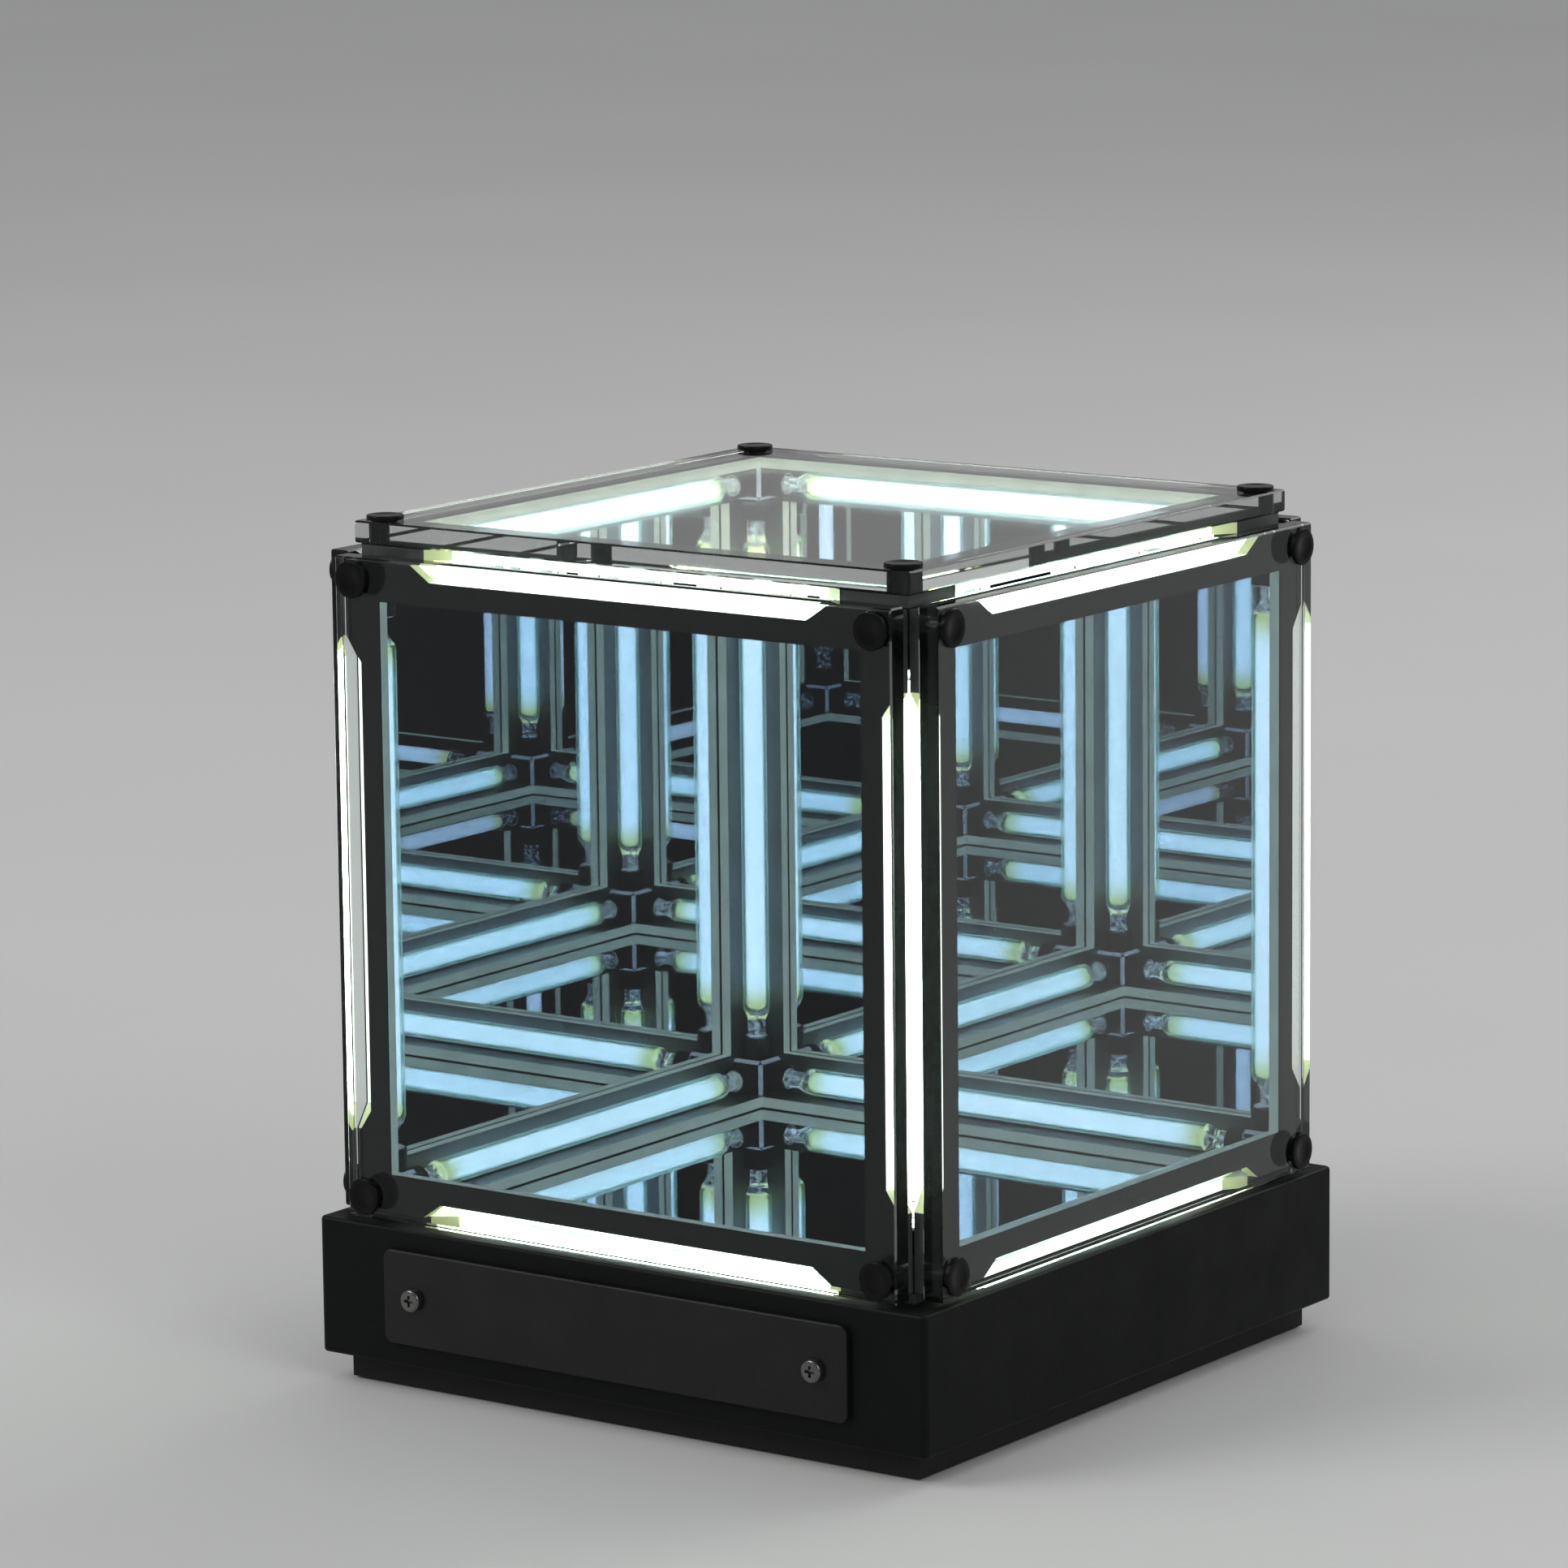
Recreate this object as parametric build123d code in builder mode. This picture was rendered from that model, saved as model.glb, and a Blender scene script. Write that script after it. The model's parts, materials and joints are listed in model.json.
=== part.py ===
from build123d import *
import os

# A cube of twelve edge lamps behind six clear mirror panels, standing in the recess of a flat box base.
# Millimetres. +Z is up, -Y is the front with the cover plate, and Z = 0 is the surface it stands on.

os.makedirs("parts", exist_ok=True)

# ------------------------------------------------------------------ driving dimensions: the cube
post_pitch = 140.0            # between neighbouring corner posts, and between lamp axes
panel_gap = 2.0               # from a panel's edge to the inner face of its neighbour
glass_thickness = 5.0
film_thickness = 0.1          # two-way mirror film on the panel's inner face
tape_thickness = 0.4          # bond between a panel and its mask
mask_thickness = 2.5
mask_gap = 0.3                # from a mask's edge to the inner face of its neighbour
window_margin = 10.0          # from the panel's edge to the square window of the mask
band_width = 5.3              # mask band left between the window and a lamp's cut-back
cutback_margin = 4.5          # straight part of a cut-back, short of the round tube's end
cutback_run = 5.2             # length of the slanted end of a cut-back, along the edge
glass_edge_chamfer = 0.4

# ------------------------------------------------------------------ driving dimensions: hubs and posts
hub_block = 8.2               # cube at each corner
hub_edge_chamfer = 0.8        # on the three edges that look into the cube
socket_outer_diameter = 6.6   # collar that takes a lamp's end
socket_length = 5.1
socket_depth = 3.8
tap_diameter = 3.0
tap_depth = 2.5
post_diameter = 5.2
post_head_diameter = 8.4
post_head_height = 1.1
post_head_fillet = 0.3

# ------------------------------------------------------------------ driving dimensions: lamps
tube_diameter = 6.4
tube_bore = 4.9
tube_end_wall = 1.2
tube_shoulder_fillet = 2.2
pinch_width = 4.2             # flattened end of the tube
pinch_thickness = 1.8
pinch_length = 5.7
rod_clearance = 0.2           # round the glowing rod, radially
rod_end_gap = 0.6
end_cap_diameter = 5.2
end_cap_show = 0.5            # how far a cap stands out of its socket
end_cap_grip = 0.9            # how far the pinch reaches into its cap

# ------------------------------------------------------------------ driving dimensions: the base
base_rim = 8.0                # the base reaches this far past the panels' edges
base_height = 31.5            # of the shell, without the plinth
base_wall = 3.0
base_corner_fillet = 1.5
base_edge_fillet = 0.8
recess_depth = 6.0            # the bottom panel lies in this
recess_floor = 3.0            # thickness under the recess
plinth_inset = 5.0            # from the shell's side to the plinth's side
plinth_height = 6.0
plinth_floor = 3.0
plinth_wall = 3.0
flange_height = 3.0           # ledge of the plinth that locates the shell
foot_diameter = 12.0
foot_thickness = 1.5
foot_stand_off = 0.5          # how far a foot stands out of the plinth
foot_inset = 8.0              # from the plinth's side to a foot's centre
boss_diameter = 9.0
boss_inset = 10.0             # from a post's axis to the axis of the nearest boss
screw_diameter = 3.0
screw_head_diameter = 5.2
screw_head_height = 1.6
screw_head_fillet = 0.6
screw_recess_length = 2.6     # cross recess in a head
screw_recess_width = 0.7
screw_recess_depth = 0.8
floor_screw_length = 10.0
plate_screw_length = 7.0

# ------------------------------------------------------------------ driving dimensions: front plate
plate_side_margin = 19.5      # from the shell's side to the plate's side
plate_height = 21.5
plate_thickness = 1.5
plate_edge_chamfer = 0.3
plate_corner_radius = 2.0
plate_height_above_floor = 22.6
plate_screw_inset = 8.5       # from the plate's side to a screw's axis
plate_boss_diameter = 7.0
plate_boss_length = 3.0

# ------------------------------------------------------------------ driving dimensions: electrics
board_length = 80.0
board_width = 60.0
board_thickness = 1.6
board_hole_inset = 4.0
standoff_diameter = 6.0
standoff_height = 4.0
board_screw_diameter = 2.0
board_screw_head_diameter = 4.0
board_screw_head_height = 1.4
board_screw_length = 3.0
terminal_length = 20.0
terminal_width = 9.0
terminal_height = 8.0
terminal_inset = 3.0          # from the board's front edge
capacitor_diameter = 10.0
capacitor_height = 14.0
capacitor_x = 22.0
capacitor_y = 12.0
lead_diameter = 1.8
lead_spacing = 8.0
lead_run_out = 14.0           # straight run out of the terminal block
lead_bend_in = 40.0           # bend of a lead, inwards of its post
lead_bend_back = 12.0         # the same bend, behind its post
lead_rise = 12.0              # straight rise of a lead below its post
lead_radii = (11.0, 80.0, 5.4)
control_height = 18.0         # of the inlet and the switch above the surface
jack_x = -26.0
jack_barrel_diameter = 11.0
jack_flange_diameter = 14.0
jack_flange_thickness = 1.5
jack_length = 14.0            # behind the flange
jack_bore = 6.4
jack_bore_depth = 9.5
jack_pin_diameter = 2.1
jack_pin_length = 8.0
nut_thickness = 2.5
nut_width = 15.0              # across the flats
switch_x = 26.0
bezel_barrel_diameter = 12.0
bezel_flange_diameter = 16.0
bezel_flange_thickness = 1.5
bezel_lip = 4.0               # narrow part of the bore, counted from the flange's face
bezel_end_wall = 1.5
button_diameter = 9.0
button_collar_diameter = 10.4
button_collar_thickness = 1.2
button_stand_out = 1.6
button_travel = 1.5
spring_room = 5.25            # left behind the pressed button

# ------------------------------------------------------------------ clearances
post_clearance = 0.1          # radial, posts in panels, masks and base
thread_clearance = 0.05       # radial, threaded tails in their holes
socket_clearance = 0.1        # radial, lamp caps in their sockets
socket_end_clearance = 0.3    # behind a lamp's cap
pinch_clearance = 0.05
film_clearance = 0.2          # film to the tape's window, each side
recess_clearance = 0.4        # bottom panel in the recess, each side
shell_clearance = 0.3         # plinth ledge in the shell, each side
barrel_clearance = 0.1        # radial, barrels through the back wall
running_clearance = 0.05      # radial, button in its bezel
stop_clearance = 0.05         # button collar to its stop
foot_clearance = 0.1

# ------------------------------------------------------------------ derived sizes
hub_face = post_pitch / 2 + hub_block / 2
mask_outer_face = hub_face + mask_thickness
glass_inner_face = mask_outer_face + tape_thickness
glass_outer_face = glass_inner_face + glass_thickness
panel_side = 2 * (glass_inner_face - panel_gap)
mask_side = 2 * (hub_face - mask_gap)
window_side = panel_side - 2 * window_margin
post_hole_radius = post_diameter / 2 + post_clearance
socket_mouth = post_pitch / 2 - hub_block / 2 - socket_length
end_cap_start = socket_mouth - end_cap_show
end_cap_length = end_cap_show + socket_depth - socket_end_clearance
pinch_end = end_cap_start + end_cap_grip
tube_half_length = pinch_end - pinch_length
cutback_half_length = tube_half_length - cutback_margin
base_side = panel_side + 2 * base_rim
plinth_side = base_side - 2 * plinth_inset
foot_pitch = plinth_side - 2 * foot_inset
boss_pitch = post_pitch - 2 * boss_inset
plate_width = base_side - 2 * plate_side_margin
plate_screw_pitch = plate_width - 2 * plate_screw_inset
plinth_top = foot_stand_off + plinth_height
plinth_floor_top = foot_stand_off + plinth_floor
base_top = plinth_top + base_height
recess_level = base_top - recess_depth
shell_ceiling = recess_level - recess_floor
shell_inside = base_side - 2 * base_wall
cube_center = Vector(0, 0, recess_level + glass_outer_face)
socket_radius = end_cap_diameter / 2 + socket_clearance
back_face = base_side / 2
board_bottom = plinth_floor_top + standoff_height
board_top = board_bottom + board_thickness
board_hole_x = board_length - 2 * board_hole_inset
board_hole_y = board_width - 2 * board_hole_inset

sides = {
    "front": Vector(0, -1, 0),
    "back": Vector(0, 1, 0),
    "left": Vector(-1, 0, 0),
    "right": Vector(1, 0, 0),
    "top": Vector(0, 0, 1),
    "bottom": Vector(0, 0, -1),
}


def panel_plane(outward, distance):
    """Plane of a panel at a distance from the cube's centre, facing outwards."""
    across = Vector(outward.Y, outward.Z, outward.X)
    return Plane(origin=cube_center + outward * distance, x_dir=across, z_dir=outward)


def finish(part, name):
    """Name a finished piece and write it."""
    part.label = name
    export_step(part, f"parts/{name}.step")


# ------------------------------------------------------------------ panels: glass, film, mask, tape
def make_glass(side, outward):
    """Clear square sheet with a post hole in each corner and finely bevelled edges."""
    with BuildPart() as glass:
        with BuildSketch(panel_plane(outward, glass_inner_face)):
            Rectangle(panel_side, panel_side)
            with GridLocations(post_pitch, post_pitch, 2, 2):
                Circle(post_hole_radius, mode=Mode.SUBTRACT)
        extrude(amount=glass_thickness)
        chamfer(glass.edges().filter_by(GeomType.LINE), glass_edge_chamfer)
    finish(glass.part, f"glass_{side}")


def make_film(side, outward):
    """Two-way mirror film on the inner face of a sheet, inside the mask's window."""
    film_side = window_side - 2 * film_clearance
    with BuildPart() as film:
        with BuildSketch(panel_plane(outward, glass_inner_face)):
            Rectangle(film_side, film_side)
        extrude(amount=-film_thickness)
    finish(film.part, f"mirror_film_{side}")


def mask_outline():
    """Square with the window and the post holes, cut back beside each of the four lamps."""
    cutback = mask_side / 2 - window_side / 2 - band_width
    Rectangle(mask_side, mask_side)
    Rectangle(window_side, window_side, mode=Mode.SUBTRACT)
    with GridLocations(post_pitch, post_pitch, 2, 2):
        Circle(post_hole_radius, mode=Mode.SUBTRACT)
    with PolarLocations(mask_side / 2, 4):
        Polygon(
            (-cutback, -cutback_half_length),
            (-cutback, cutback_half_length),
            (0, cutback_half_length + cutback_run),
            (0, -cutback_half_length - cutback_run),
            align=None,
            mode=Mode.SUBTRACT,
        )


def make_mask(side, outward):
    """Black plate between a sheet's tape and the four hubs of that side."""
    with BuildPart() as mask:
        with BuildSketch(panel_plane(outward, hub_face)):
            mask_outline()
        extrude(amount=mask_thickness)
    finish(mask.part, f"mask_{side}")


for side, outward in sides.items():
    make_glass(side, outward)
    make_film(side, outward)
    make_mask(side, outward)

with BuildPart() as mask_tapes:
    for outward in sides.values():
        with BuildSketch(panel_plane(outward, mask_outer_face)):
            mask_outline()
        extrude(amount=tape_thickness)
finish(mask_tapes.part, "mask_tapes")


# ------------------------------------------------------------------ corner hubs
def make_hub(name, x_sign, y_sign, z_sign):
    """Block with three lamp sockets that look into the cube and three tapped outer faces."""
    corner = cube_center + Vector(x_sign, y_sign, z_sign) * (post_pitch / 2)
    inner_corner = corner - Vector(x_sign, y_sign, z_sign) * (hub_block / 2)
    inward_axes = (Vector(-x_sign, 0, 0), Vector(0, -y_sign, 0), Vector(0, 0, -z_sign))
    with BuildPart() as hub:
        with Locations(corner):
            Box(hub_block, hub_block, hub_block)
        chamfer(hub.edges().sort_by_distance(inner_corner)[:3], hub_edge_chamfer)
        for inward in inward_axes:
            with BuildSketch(Plane(origin=corner, z_dir=inward)):
                Circle(socket_outer_diameter / 2)
            extrude(amount=hub_block / 2 + socket_length)
        for inward in inward_axes:
            mouth = corner + inward * (hub_block / 2 + socket_length)
            with BuildSketch(Plane(origin=mouth, z_dir=inward)):
                Circle(socket_radius)
            extrude(amount=-socket_depth, mode=Mode.SUBTRACT)
            with BuildSketch(Plane(origin=corner - inward * (hub_block / 2), z_dir=-inward)):
                Circle(tap_diameter / 2)
            extrude(amount=-tap_depth, mode=Mode.SUBTRACT)
    finish(hub.part, name)


for level, z_sign in (("top", 1), ("bottom", -1)):
    for depth, y_sign in (("front", -1), ("back", 1)):
        for hand, x_sign in (("left", -1), ("right", 1)):
            make_hub(f"hub_{level}_{depth}_{hand}", x_sign, y_sign, z_sign)


# ------------------------------------------------------------------ lamps
def lamp_positions():
    """Name, centre, axis and direction away from the cube's centre of each edge lamp."""
    positions = {}
    for level, z_sign in (("top", 1), ("bottom", -1)):
        for depth, y_sign in (("front", -1), ("back", 1)):
            positions[f"{level}_{depth}"] = (Vector(1, 0, 0), Vector(0, y_sign, z_sign))
        for hand, x_sign in (("left", -1), ("right", 1)):
            positions[f"{level}_{hand}"] = (Vector(0, 1, 0), Vector(x_sign, 0, z_sign))
    for depth, y_sign in (("front", -1), ("back", 1)):
        for hand, x_sign in (("left", -1), ("right", 1)):
            positions[f"{depth}_{hand}"] = (Vector(0, 0, 1), Vector(x_sign, y_sign, 0))
    return positions


def lamp_plane(along, outward, distance, facing=1):
    """Plane across a lamp at a distance from its middle, its local x lying across the outward diagonal."""
    middle = cube_center + outward * (post_pitch / 2)
    return Plane(origin=middle + along * distance * facing, x_dir=along.cross(outward), z_dir=along * facing)


def make_tube(name, along, outward):
    """Sealed glass tube: round and hollow in the middle, with a flat pinch at each end."""
    cavity_half_length = tube_half_length - tube_end_wall
    with BuildPart() as tube:
        with BuildSketch(lamp_plane(along, outward, -tube_half_length)):
            Circle(tube_diameter / 2)
        extrude(amount=2 * tube_half_length)
        fillet(tube.edges().filter_by(GeomType.CIRCLE), tube_shoulder_fillet)
        with BuildSketch(lamp_plane(along, outward, -cavity_half_length)):
            Circle(tube_bore / 2)
        extrude(amount=2 * cavity_half_length, mode=Mode.SUBTRACT)
        for facing in (-1, 1):
            with BuildSketch(lamp_plane(along, outward, cavity_half_length + tube_end_wall / 2, facing)):
                Rectangle(pinch_width, pinch_thickness)
            extrude(amount=pinch_length + tube_end_wall / 2)
    finish(tube.part, f"lamp_tube_{name}")


lamps = lamp_positions()
for name, (along, outward) in lamps.items():
    make_tube(name, along, outward)

rod_radius = tube_bore / 2 - rod_clearance
rod_half_length = tube_half_length - tube_end_wall - rod_end_gap
with BuildPart() as lamp_rods:
    for along, outward in lamps.values():
        with BuildSketch(lamp_plane(along, outward, -rod_half_length)):
            Circle(rod_radius)
        extrude(amount=2 * rod_half_length)
finish(lamp_rods.part, "lamp_rods")

with BuildPart() as lamp_end_caps:
    for along, outward in lamps.values():
        for facing in (-1, 1):
            with BuildSketch(lamp_plane(along, outward, end_cap_start, facing)):
                Circle(end_cap_diameter / 2)
            extrude(amount=end_cap_length)
            with BuildSketch(lamp_plane(along, outward, end_cap_start, facing)):
                Rectangle(pinch_width + 2 * pinch_clearance, pinch_thickness + 2 * pinch_clearance)
            extrude(amount=end_cap_grip + pinch_clearance, mode=Mode.SUBTRACT)
finish(lamp_end_caps.part, "lamp_end_caps")


# ------------------------------------------------------------------ posts
def make_posts(name, outward_directions, stem_length):
    """Four posts a panel: threaded tail in the hub, stem through the panel, thin round head."""
    with BuildPart() as posts:
        for outward in outward_directions:
            with BuildSketch(panel_plane(outward, hub_face)):
                with GridLocations(post_pitch, post_pitch, 2, 2):
                    Circle(tap_diameter / 2 - thread_clearance)
            extrude(amount=-tap_depth + thread_clearance)
            with BuildSketch(panel_plane(outward, hub_face)):
                with GridLocations(post_pitch, post_pitch, 2, 2):
                    Circle(post_diameter / 2)
            extrude(amount=stem_length)
            with BuildSketch(panel_plane(outward, hub_face + stem_length)):
                with GridLocations(post_pitch, post_pitch, 2, 2):
                    Circle(post_head_diameter / 2)
            extrude(amount=post_head_height)
        head_rims = posts.edges().filter_by(GeomType.CIRCLE)
        head_rims = head_rims.filter_by(lambda rim: abs(rim.radius - post_head_diameter / 2) < 0.001)
        fillet(head_rims, post_head_fillet)
    finish(posts.part, name)


panel_stack = glass_outer_face - hub_face
panels_with_short_posts = [outward for side, outward in sides.items() if side != "bottom"]
make_posts("panel_posts", panels_with_short_posts, panel_stack)
make_posts("base_posts", [sides["bottom"]], panel_stack + recess_floor)

# ------------------------------------------------------------------ base shell
screw_hole_radius = screw_diameter / 2 + thread_clearance
recess_side = panel_side + 2 * recess_clearance
back_plane = Plane(origin=(0, back_face, 0), x_dir=(-1, 0, 0), z_dir=(0, 1, 0))
front_plane = Plane(origin=(0, -base_side / 2, 0), x_dir=(1, 0, 0), z_dir=(0, -1, 0))
front_inside = Plane(origin=(0, -shell_inside / 2, 0), x_dir=(-1, 0, 0), z_dir=(0, 1, 0))

with BuildPart() as base_shell:
    with BuildSketch(Plane.XY.offset(plinth_top)):
        Rectangle(base_side, base_side)
    extrude(amount=base_height)
    fillet(base_shell.edges().filter_by(Axis.Z), base_corner_fillet)
    fillet(base_shell.faces().sort_by(Axis.Z)[0].edges(), base_edge_fillet)
    fillet(base_shell.faces().sort_by(Axis.Z)[-1].edges(), base_edge_fillet)
    with BuildSketch(Plane.XY.offset(plinth_top)):
        Rectangle(shell_inside, shell_inside)
    extrude(amount=shell_ceiling - plinth_top, mode=Mode.SUBTRACT)
    with BuildSketch(Plane.XY.offset(base_top)):
        Rectangle(recess_side, recess_side)
    extrude(amount=-recess_depth, mode=Mode.SUBTRACT)
    with BuildSketch(Plane.XY.offset(shell_ceiling)):
        with GridLocations(boss_pitch, boss_pitch, 2, 2):
            Circle(boss_diameter / 2)
    extrude(amount=plinth_floor_top - shell_ceiling)
    with BuildSketch(front_inside):
        with Locations((0, plate_height_above_floor)):
            with GridLocations(plate_screw_pitch, 0, 2, 1):
                Circle(plate_boss_diameter / 2)
    extrude(amount=plate_boss_length)
    with BuildSketch(Plane.XY.offset(plinth_floor_top)):
        with GridLocations(boss_pitch, boss_pitch, 2, 2):
            Circle(screw_hole_radius)
    extrude(amount=floor_screw_length, mode=Mode.SUBTRACT)
    with BuildSketch(front_plane):
        with Locations((0, plate_height_above_floor)):
            with GridLocations(plate_screw_pitch, 0, 2, 1):
                Circle(screw_hole_radius)
    extrude(amount=-base_wall - plate_boss_length, mode=Mode.SUBTRACT)
    with BuildSketch(Plane.XY.offset(recess_level)):
        with GridLocations(post_pitch, post_pitch, 2, 2):
            Circle(post_hole_radius)
    extrude(amount=-recess_floor, mode=Mode.SUBTRACT)
    with BuildSketch(back_plane):
        with Locations((-jack_x, control_height)):
            Circle(jack_barrel_diameter / 2 + barrel_clearance)
        with Locations((-switch_x, control_height)):
            Circle(bezel_barrel_diameter / 2 + barrel_clearance)
    extrude(amount=-base_wall, mode=Mode.SUBTRACT)
finish(base_shell.part, "base_shell")

# ------------------------------------------------------------------ plinth and floor
flange_side = shell_inside - 2 * shell_clearance
plinth_inside = plinth_side - 2 * plinth_wall
foot_pocket_depth = foot_thickness - foot_stand_off

with BuildPart() as base_floor:
    with BuildSketch(Plane.XY.offset(foot_stand_off)):
        Rectangle(plinth_side, plinth_side)
    extrude(amount=plinth_height)
    with BuildSketch(Plane.XY.offset(plinth_top)):
        Rectangle(flange_side, flange_side)
    extrude(amount=flange_height)
    with BuildSketch(Plane.XY.offset(plinth_floor_top)):
        Rectangle(plinth_inside, plinth_inside)
    extrude(amount=plinth_top + flange_height - plinth_floor_top, mode=Mode.SUBTRACT)
    with BuildSketch(Plane.XY.offset(plinth_floor_top)):
        with GridLocations(board_hole_x, board_hole_y, 2, 2):
            Circle(standoff_diameter / 2)
    extrude(amount=standoff_height)
    with BuildSketch(Plane.XY.offset(board_bottom)):
        with GridLocations(board_hole_x, board_hole_y, 2, 2):
            Circle(board_screw_diameter / 2 + thread_clearance)
    extrude(amount=-board_screw_length, mode=Mode.SUBTRACT)
    with BuildSketch(Plane.XY.offset(foot_stand_off)):
        with GridLocations(foot_pitch, foot_pitch, 2, 2):
            Circle(foot_diameter / 2 + foot_clearance)
    extrude(amount=foot_pocket_depth, mode=Mode.SUBTRACT)
    with BuildSketch(Plane.XY.offset(foot_stand_off)):
        with GridLocations(boss_pitch, boss_pitch, 2, 2):
            Circle(screw_head_diameter / 2 + post_clearance)
    extrude(amount=screw_head_height, mode=Mode.SUBTRACT)
    with BuildSketch(Plane.XY.offset(foot_stand_off)):
        with GridLocations(boss_pitch, boss_pitch, 2, 2):
            Circle(screw_hole_radius)
    extrude(amount=plinth_floor, mode=Mode.SUBTRACT)
finish(base_floor.part, "base_floor")


def make_screws(name, plane, positions, length):
    """Pan-head screws with a cross recess, seated on a plane that faces away from the shank."""
    with BuildPart() as screws:
        with BuildSketch(plane):
            with Locations(*positions):
                Circle(screw_head_diameter / 2)
        extrude(amount=screw_head_height)
        rims = screws.edges().filter_by(GeomType.CIRCLE).group_by(lambda rim: plane.to_local_coords(rim.center()).Z)
        fillet(rims[-1], screw_head_fillet)
        with BuildSketch(plane.offset(screw_head_height)):
            with Locations(*positions):
                Rectangle(screw_recess_length, screw_recess_width)
                Rectangle(screw_recess_width, screw_recess_length)
        extrude(amount=-screw_recess_depth, mode=Mode.SUBTRACT)
        with BuildSketch(plane):
            with Locations(*positions):
                Circle(screw_diameter / 2)
        extrude(amount=-length)
    finish(screws.part, name)


floor_screw_seat = Plane(origin=(0, 0, foot_stand_off + screw_head_height), x_dir=(1, 0, 0), z_dir=(0, 0, -1))
boss_reach = boss_pitch / 2
boss_positions = [(x * boss_reach, y * boss_reach) for x in (-1, 1) for y in (-1, 1)]
make_screws("floor_screws", floor_screw_seat, boss_positions, floor_screw_length)

with BuildPart() as rubber_feet:
    with BuildSketch(Plane.XY):
        with GridLocations(foot_pitch, foot_pitch, 2, 2):
            Circle(foot_diameter / 2)
    extrude(amount=foot_thickness)
finish(rubber_feet.part, "rubber_feet")

# ------------------------------------------------------------------ front plate
with BuildPart() as front_plate:
    with BuildSketch(front_plane):
        with Locations((0, plate_height_above_floor)):
            RectangleRounded(plate_width, plate_height, plate_corner_radius)
            with GridLocations(plate_screw_pitch, 0, 2, 1):
                Circle(screw_hole_radius, mode=Mode.SUBTRACT)
    extrude(amount=plate_thickness)
    chamfer(front_plate.faces().sort_by(Axis.Y)[0].outer_wire().edges(), plate_edge_chamfer)
finish(front_plate.part, "front_plate")

plate_screw_positions = [(x * plate_screw_pitch / 2, plate_height_above_floor) for x in (-1, 1)]
make_screws("front_plate_screws", front_plane.offset(plate_thickness), plate_screw_positions, plate_screw_length)

# ------------------------------------------------------------------ driver board
with BuildPart() as driver_board:
    with BuildSketch(Plane.XY.offset(board_bottom)):
        Rectangle(board_length, board_width)
        with GridLocations(board_hole_x, board_hole_y, 2, 2):
            Circle(board_screw_diameter / 2 + thread_clearance, mode=Mode.SUBTRACT)
    extrude(amount=board_thickness)
finish(driver_board.part, "driver_board")

with BuildPart() as board_screws:
    with BuildSketch(Plane.XY.offset(board_top)):
        with GridLocations(board_hole_x, board_hole_y, 2, 2):
            Circle(board_screw_head_diameter / 2)
    extrude(amount=board_screw_head_height)
    with BuildSketch(Plane.XY.offset(board_top)):
        with GridLocations(board_hole_x, board_hole_y, 2, 2):
            Circle(board_screw_diameter / 2)
    extrude(amount=-board_thickness - board_screw_length + 2 * thread_clearance)
finish(board_screws.part, "board_screws")

terminal_y = -board_width / 2 + terminal_inset + terminal_width / 2
with BuildPart() as terminal_block:
    with BuildSketch(Plane.XY.offset(board_top)):
        with Locations((0, terminal_y)):
            Rectangle(terminal_length, terminal_width)
    extrude(amount=terminal_height)
finish(terminal_block.part, "terminal_block")

with BuildPart() as filter_capacitor:
    with BuildSketch(Plane.XY.offset(board_top)):
        with Locations((capacitor_x, capacitor_y)):
            Circle(capacitor_diameter / 2)
    extrude(amount=capacitor_height)
finish(filter_capacitor.part, "filter_capacitor")

# ------------------------------------------------------------------ leads to the two front base posts
lead_level = board_top + terminal_height / 2
lead_end = shell_ceiling - post_head_height
lead_start_y = terminal_y - terminal_width / 2
post_x = post_pitch / 2

with BuildPart() as power_leads:
    for hand in (-1, 1):
        lead_x = hand * lead_spacing / 2
        route = [
            (lead_x, lead_start_y, lead_level),
            (lead_x, lead_start_y - lead_run_out, lead_level),
            (hand * (post_x - lead_bend_in), lead_bend_back - post_x, lead_level),
            (hand * post_x, -post_x, lead_end - lead_rise),
            (hand * post_x, -post_x, lead_end),
        ]
        with BuildLine() as lead_path:
            FilletPolyline(*route, radius=lead_radii)
        with BuildSketch(Plane(origin=route[0], z_dir=lead_path.line % 0)):
            Circle(lead_diameter / 2)
        sweep(path=lead_path.line)
finish(power_leads.part, "power_leads")


# ------------------------------------------------------------------ inlet, switch and their nuts
def make_nut(name, center_x, barrel_diameter):
    """Hexagon nut on a barrel, against the inside of the back wall."""
    with BuildPart() as nut:
        with BuildSketch(back_plane.offset(-base_wall)):
            with Locations((-center_x, control_height)):
                RegularPolygon(nut_width / 2, 6, major_radius=False)
                Circle(barrel_diameter / 2 + thread_clearance, mode=Mode.SUBTRACT)
        extrude(amount=-nut_thickness)
    finish(nut.part, name)


with BuildPart() as dc_jack:
    with BuildSketch(back_plane):
        with Locations((-jack_x, control_height)):
            Circle(jack_flange_diameter / 2)
    extrude(amount=jack_flange_thickness)
    with BuildSketch(back_plane):
        with Locations((-jack_x, control_height)):
            Circle(jack_barrel_diameter / 2)
    extrude(amount=-jack_length)
    with BuildSketch(back_plane.offset(jack_flange_thickness)):
        with Locations((-jack_x, control_height)):
            Circle(jack_bore / 2)
            Circle(jack_pin_diameter / 2, mode=Mode.SUBTRACT)
    extrude(amount=-jack_bore_depth, mode=Mode.SUBTRACT)
    with BuildSketch(back_plane.offset(jack_flange_thickness)):
        with Locations((-jack_x, control_height)):
            Circle(jack_bore / 2)
    extrude(amount=jack_pin_length - jack_bore_depth, mode=Mode.SUBTRACT)
finish(dc_jack.part, "dc_jack")
make_nut("jack_nut", jack_x, jack_barrel_diameter)

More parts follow.
